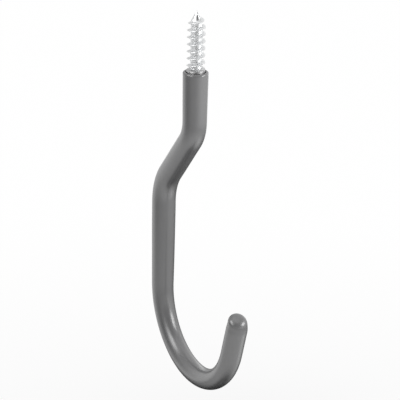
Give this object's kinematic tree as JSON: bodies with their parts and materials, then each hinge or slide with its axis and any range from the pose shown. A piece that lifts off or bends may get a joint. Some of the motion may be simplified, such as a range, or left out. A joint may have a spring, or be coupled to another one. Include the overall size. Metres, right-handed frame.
{
  "type": "screw-in bike hook",
  "caption": "Steel rod with a wood-screw point, bent to an offset stem and an open round hook, and coated in soft grey vinyl up to the thread, for hanging a bicycle by its wheel.",
  "frame": {"origin": "on the screw's axis, in the plane of the coat's mouth, which stops against the timber", "axes": "+Z along the screw towards its point, +X from the screw's axis towards the hook's tip, the rod bent in the XZ plane"},
  "size_m": [0.0763, 0.0108, 0.1701],
  "materials": {
    "zinc_steel": "bright zinc plate",
    "grey_vinyl": "smooth dipped vinyl, glossy"
  },
  "bodies": {
    "root": {"steel_rod": "zinc_steel", "vinyl_coat": "grey_vinyl"}
  },
  "joints": []
}
